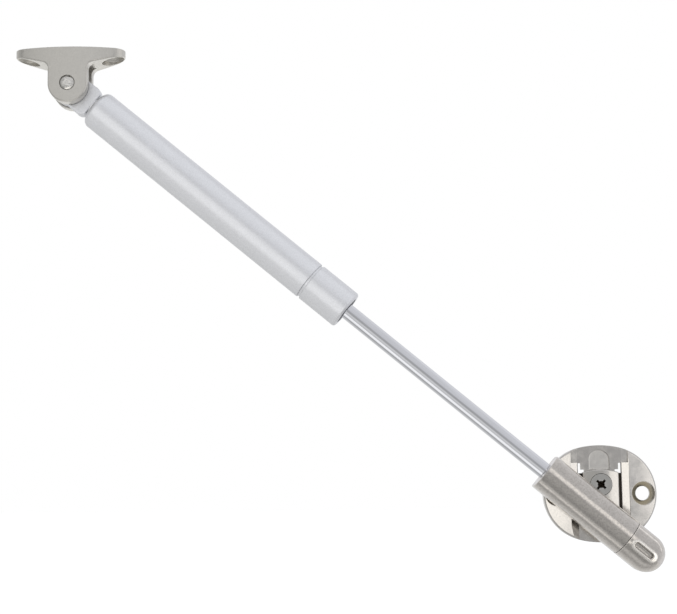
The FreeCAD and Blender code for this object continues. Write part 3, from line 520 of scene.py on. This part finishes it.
FINISH = {
    "base_plate": base_nickel(),
    "height_slide": slide_nickel(),
    "pivot_stud": turned_metal("stud_turned_steel", (0.62, 0.62, 0.61), 0.25, LOWER, about="y"),
    "clamp_screw": recessed_screw(),
    "clamp_nut": turned_metal("nut_zinc_steel", (0.58, 0.58, 0.56), 0.36, CLAMP, about="y"),
    "connector_barrel": BARREL,
    "socket_bush": ACETAL,
    "release_cap": cap_nickel(),
    "latch_plate": SPRING,
    "guide_pin": STEEL,
    "latch_spring": SPRING,
    "piston_rod": CHROME,
    "stop_spacer": STEEL,
    "piston": ALUMINIUM,
    "piston_ring": ACETAL,
    "piston_washer": STEEL,
    "piston_nut": STEEL,
    "cylinder_tube": PAINT,
    "front_sleeve": PAINT,
    "guide_bush": ACETAL,
    "rod_seal": RUBBER,
    "seal_backup_ring": STEEL,
    "retaining_ring": SPRING,
    "end_plug": ALUMINIUM,
    "plug_seal": RUBBER,
    "eye_fitting": PAINT,
    "door_bracket": bracket_nickel(),
    "pivot_rivet": peened_rivet(),
}
for name, graph in FINISH.items():
    node = NODES[name]
    if not node.data.materials:
        node.data.materials.append(graph.material)
    for slot in node.material_slots:
        slot.material = graph.material


# ---- the spring's copy ----
def shortening_spring(along):
    """Copy of the latch spring, carried by the rod's body and shown in place of the part."""
    node = NODES["latch_spring"]
    coil = bpy.data.objects.new("latch_spring_coil", node.data.copy())
    coil.matrix_world = node.matrix_world
    bpy.context.scene.collection.objects.link(coil)
    stations = [(coil.matrix_world @ v.co).dot(along) for v in coil.data.vertices]
    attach(coil, "rod")
    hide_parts("latch_spring")
    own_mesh(coil)


shortening_spring(ALONG)


# ---- floor ----
FLOOR_GAP = 0.04        # metres under the strut, if it hung straight down
FLOOR_HALF = 12.0       # half width, in metres
FLOOR_GLOW = 0.45


def pale_floor(height, half):
    mesh = bpy.data.meshes.new("floor")
    corners = [(-half, -half, height), (half, -half, height), (half, half, height), (-half, half, height)]
    mesh.from_pydata(corners, [], [(0, 1, 2, 3)])
    floor = bpy.data.objects.new("floor", mesh)
    bpy.context.scene.collection.objects.link(floor)
    g = Graph("pale_floor")
    mottle = g.noise(g.place(), scale=0.004, detail=3.0)
    g.set(Base_Color=g.blend(mottle, (0.90, 0.90, 0.90), (0.93, 0.93, 0.93)), Roughness=0.9)
    g.set(Emission_Color=(1.0, 1.0, 1.0, 1.0), Emission_Strength=FLOOR_GLOW)
    mesh.materials.append(g.material)
    floor.visible_glossy = False
    floor.visible_diffuse = False


pale_floor(LOWER.z - (UPPER - LOWER).length - FLOOR_GAP, FLOOR_HALF)

# ---- surround ----
# Brightness by angle about the strut, in degrees from the front towards its upper side.
SURROUND = (
    (-180, 0.80), (-138, 0.70), (-120, 0.62), (-106, 0.52), (-94, 0.40), (-84, 0.52),
    (-74, 0.60), (-64, 0.55), (-56, 0.37), (-47, 0.32), (-35, 0.38), (-23, 0.41),
    (-11, 0.46), (0, 0.43), (11, 0.45), (23, 0.54), (40, 0.56), (64, 0.60),
    (84, 0.62), (106, 0.68), (120, 0.74), (138, 0.78), (180, 0.80),
)
SURROUND_RED = 0.995
UPPER_BLUE = 1.03       # blue of the bands on the upper side


def studio_world():
    """Soft surround in bands along the strut, white where the camera looks straight at it."""
    world = bpy.data.worlds.new("studio")
    world.use_nodes = True
    bpy.context.scene.world = world
    n = Nodes(world.node_tree)
    n.tree.nodes.clear()

    view = n.node("ShaderNodeTexCoord").outputs["Generated"]
    angle = n.math("ARCTAN2", n.dot(view, ACROSS), n.dot(view, FRONT))
    bands = n.node("ShaderNodeValToRGB")
    n.feed(bands.inputs[0], n.span(angle, -math.pi, math.pi))
    elements = bands.color_ramp.elements
    while len(elements) < len(SURROUND):
        elements.new(1.0)
    for element, (degrees, value) in zip(elements, SURROUND):
        element.position = (degrees + 180) / 360
        blue = UPPER_BLUE if degrees > 0 else 1.0
        element.color = (value * SURROUND_RED, value, value * blue, 1)

    soft = n.node("ShaderNodeBackground")
    n.feed(soft.inputs["Color"], bands.outputs[0])
    white = n.node("ShaderNodeBackground")
    n.feed(white.inputs["Color"], (1, 1, 1, 1))
    seen = n.node("ShaderNodeLightPath").outputs["Is Camera Ray"]
    pick = n.node("ShaderNodeMixShader")
    n.feed_all(pick, (seen, soft.outputs[0], white.outputs[0]))
    n.feed(n.node("ShaderNodeOutputWorld").inputs["Surface"], pick.outputs[0])


studio_world()

# ---- lamps ----
LAMP_DISTANCE = 1.2     # metres from the strut's middle


def lamp(name, toward, lengthways, size, glow, colour, lights):
    """Rectangular lamp in direction toward, its long side along lengthways. glow is how bright it looks as a
    reflection, and lights names the nodes that it lights, or is empty for all of them."""
    data = bpy.data.lights.new(name, "AREA")
    data.shape = "RECTANGLE"
    data.size, data.size_y = size
    data.energy = glow * math.pi * size[0] * size[1]
    data.color = colour
    back = toward.normalized()
    width = lengthways.cross(back).normalized()
    place = Matrix((width, back.cross(width), back)).transposed().to_4x4()
    place.translation = MIDDLE + back * LAMP_DISTANCE
    made = bpy.data.objects.new(name, data)
    made.matrix_world = place
    made.visible_camera = False
    bpy.context.scene.collection.objects.link(made)
    if lights:
        only = bpy.data.collections.new(name + "_only")
        for node in lights:
            only.objects.link(NODES[node])
        made.light_linking.receiver_collection = only


def span_of(degrees):
    """Size of a lamp that fills an angle of degrees, seen from the strut's middle."""
    return 2 * LAMP_DISTANCE * math.tan(math.radians(degrees / 2))


def strip(name, angle, width, glow, lights=(), colour=(1, 1, 1), length=100):
    """Strip lamp parallel to the strut, at an angle about it from the front towards its upper side."""
    turn = math.radians(angle)
    toward = FRONT * math.cos(turn) + ACROSS * math.sin(turn)
    lamp(name, toward, ALONG, (span_of(width), span_of(length)), glow, colour, lights)


def softbox(name, bearing, height, width, tall, glow, lights=(), colour=(1, 1, 1)):
    """Upright lamp at a bearing (0 in front, 90 to the right, 180 behind) and a height, in degrees."""
    side, lift = math.radians(bearing), math.radians(height)
    toward = Vector((math.sin(side) * math.cos(lift), -math.cos(side) * math.cos(lift), math.sin(lift)))
    lamp(name, toward, Vector((0, 0, 1)), (span_of(width), span_of(tall)), glow, colour, lights)


TUBE = ("cylinder_tube", "front_sleeve", "eye_fitting")
GRIP = ("connector_barrel", "release_cap")
PLATE = ("base_plate", "height_slide")
BRACKET = ("door_bracket", "pivot_rivet")
WARM = (1, 0.97, 0.925)
COOL = (0.93, 0.96, 1.0)

# A strip's numbers are angle, width and glow; a softbox's are bearing, height, width, tall and glow.
strip("rod_wide_strip", -38, 50, 0.30, ["piston_rod"])
strip("rod_bright_strip", -67, 36, 0.48, ["piston_rod"])
strip("rod_cool_strip", 70, 100, 0.12, ["piston_rod"], COOL)
strip("tube_low_strip", -20, 52, 0.64, TUBE)
strip("tube_under_strip", -75, 90, 0.22, TUBE)
strip("tube_high_strip", 62, 76, 0.30, TUBE, COOL)
strip("grip_high_strip", 24, 21, 0.48, GRIP, WARM)
strip("grip_low_strip", -79, 11, 0.30, ["connector_barrel"], WARM)
softbox("low_back_panel", 180, -14, 70, 16, 0.6, BRACKET)
softbox("bracket_softbox", -16, 15, 64, 44, 0.32, BRACKET)
softbox("ear_under_softbox", -8, -48, 60, 36, 1.0, BRACKET, WARM)
softbox("ear_side_softbox", 78, 6, 44, 50, 0.35, BRACKET, WARM)
softbox("slide_softbox", 35, 0, 20, 36, 0.68, PLATE, WARM)
softbox("ledge_softbox", -5, -1, 26, 40, 0.86, ["base_plate"], WARM)
softbox("dome_softbox", 23, -3, 14, 40, 0.10, ["base_plate"])
softbox("cap_softbox", -75, 36, 50, 50, 1.2, ["release_cap"])
strip("cap_edge_strip", 102, 8, 0.6, ["release_cap"])
softbox("bead_end_softbox", 46, -24, 26, 34, 1.5, ["release_cap"], WARM)
strip("bead_low_strip", -14, 14, 0.65, ["release_cap"], WARM, 50)

# ---- camera, fitted to the photo's perspective ----
SENSOR_WIDTH = 36.0                                 # millimetres, as the focal length
FOCAL_LENGTH = 77.11
NEAR, FAR = 0.01, 60.0                              # clipping, in metres
AZIMUTH, ELEVATION, ROLL = 0.674, -6.556, -0.595    # degrees
AIM = Vector((-0.09649, 0, 0.07127))
DISTANCE = 0.55089                                  # metres from the camera to the aim


def photo_camera():
    data = bpy.data.cameras.new("camera")
    data.sensor_fit = "HORIZONTAL"
    data.sensor_width = SENSOR_WIDTH
    data.lens = FOCAL_LENGTH
    data.clip_start = NEAR
    data.clip_end = FAR
    camera = bpy.data.objects.new("camera", data)
    azimuth, elevation, roll = math.radians(AZIMUTH), math.radians(ELEVATION), math.radians(ROLL)
    level = Vector((math.cos(azimuth), math.sin(azimuth), 0))
    ahead = Vector((-math.sin(azimuth), math.cos(azimuth), 0))
    look = ahead * math.cos(elevation) - Vector((0, 0, math.sin(elevation)))
    rise = level.cross(look)
    right = level * math.cos(roll) + rise * math.sin(roll)
    up = rise * math.cos(roll) - level * math.sin(roll)
    place = Matrix((right, up, -look)).transposed().to_4x4()
    place.translation = AIM - look * DISTANCE
    camera.matrix_world = place
    bpy.context.scene.collection.objects.link(camera)
    bpy.context.scene.camera = camera


photo_camera()
bpy.context.scene.view_settings.view_transform = "Standard"
